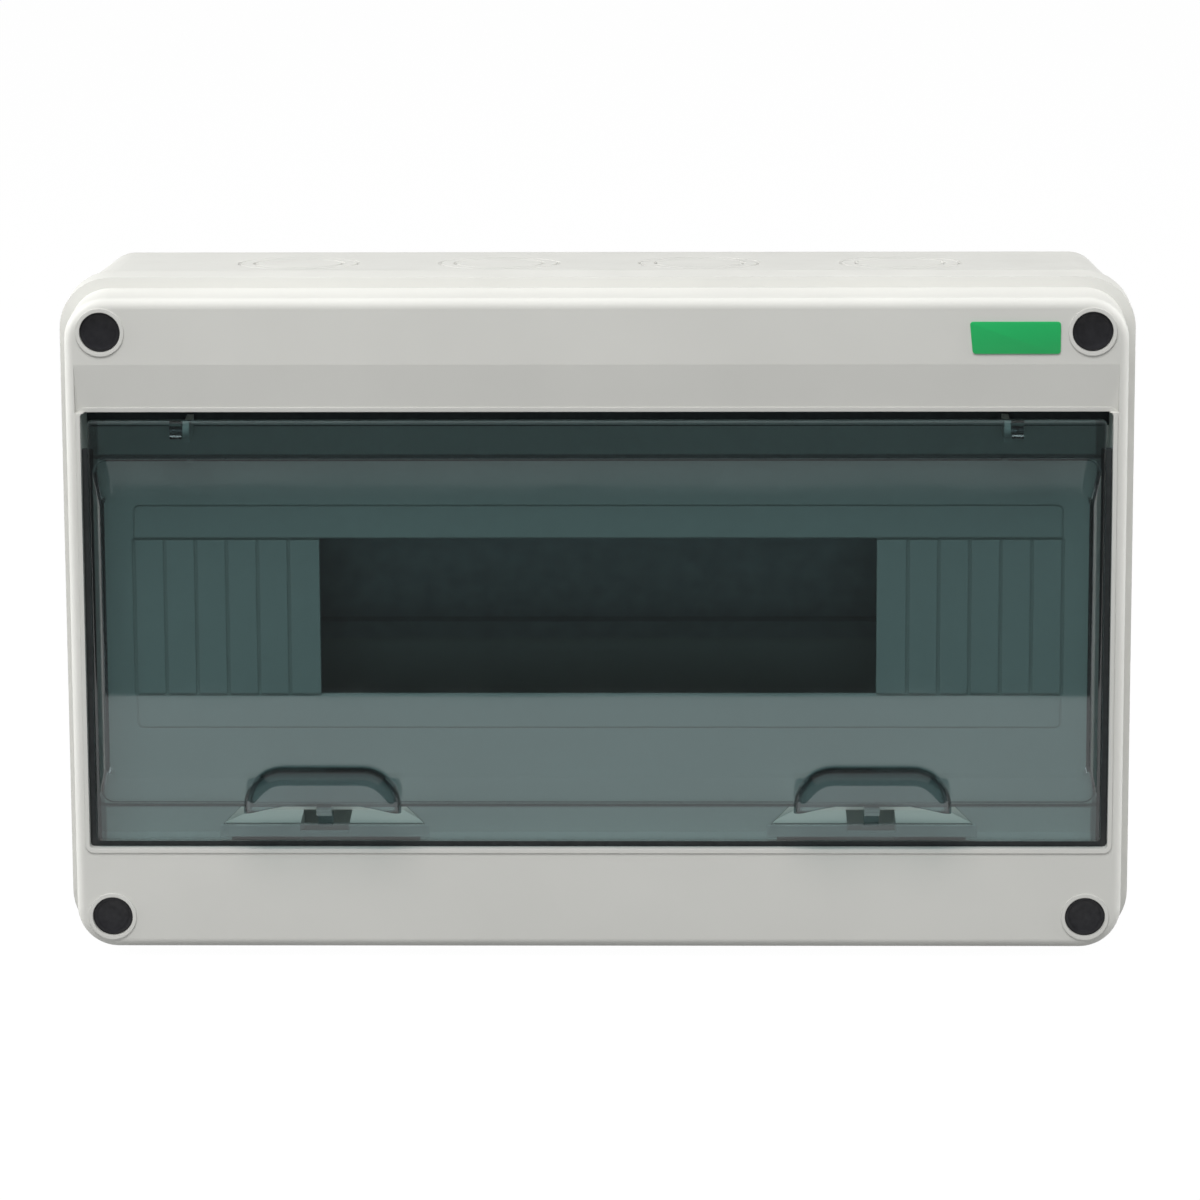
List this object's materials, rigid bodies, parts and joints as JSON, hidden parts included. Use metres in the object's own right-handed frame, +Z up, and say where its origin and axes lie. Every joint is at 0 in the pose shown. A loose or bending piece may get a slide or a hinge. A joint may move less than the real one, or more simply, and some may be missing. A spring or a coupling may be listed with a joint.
{
  "type": "waterproof junction box",
  "caption": "Surface-mounted waterproof junction box with a tinted lift-up window door, breaker slot, mounting rail and terminal bars.",
  "frame": {"origin": "centre of the flat wall face at the back of the rear box", "axes": "+Z up, +X to the right seen from the front, +Y into the wall, so the window faces -Y"},
  "size_m": [0.31, 0.108, 0.198],
  "materials": {
    "grey_plastic": "light grey moulded plastic, fine satin grain",
    "tinted_window": "clear green-grey tinted polycarbonate",
    "seal_rubber": "black foam rubber cord",
    "cap_rubber": "dark grey moulded rubber",
    "steel": "zinc plated",
    "zinc_steel": "dull zinc plated strip",
    "brass": "plain machined brass",
    "blue_plastic": "blue moulded plastic",
    "green_plastic": "green moulded plastic",
    "label_film": "plain green film label"
  },
  "bodies": {
    "enclosure": {"rear_box": "grey_plastic", "front_cover": "grey_plastic", "inner_panel": "grey_plastic", "cover_seal": "seal_rubber", "hinge_pin_left": "steel", "hinge_pin_right": "steel", "cover_screw_top_left": "steel", "screw_cap_top_left": "cap_rubber", "cover_screw_top_right": "steel", "screw_cap_top_right": "cap_rubber", "cover_screw_bottom_left": "steel", "screw_cap_bottom_left": "cap_rubber", "cover_screw_bottom_right": "steel", "screw_cap_bottom_right": "cap_rubber", "screw_inserts": "brass", "din_rail": "zinc_steel", "rail_screws": "steel", "neutral_bar": "brass", "neutral_bar_holder": "blue_plastic", "neutral_clamp_screws": "steel", "earth_bar": "brass", "earth_bar_holder": "green_plastic", "earth_clamp_screws": "steel", "holder_screws": "steel", "label": "label_film"},
    "door": {"window_door": "tinted_window"}
  },
  "joints": [
    {"name": "door_hinge", "type": "hinge", "parent": "enclosure", "child": "door", "pos_m": [0, -0.0928, 0.0575], "axis": [-1, 0, 0], "range_deg": [0, 95]}
  ]
}
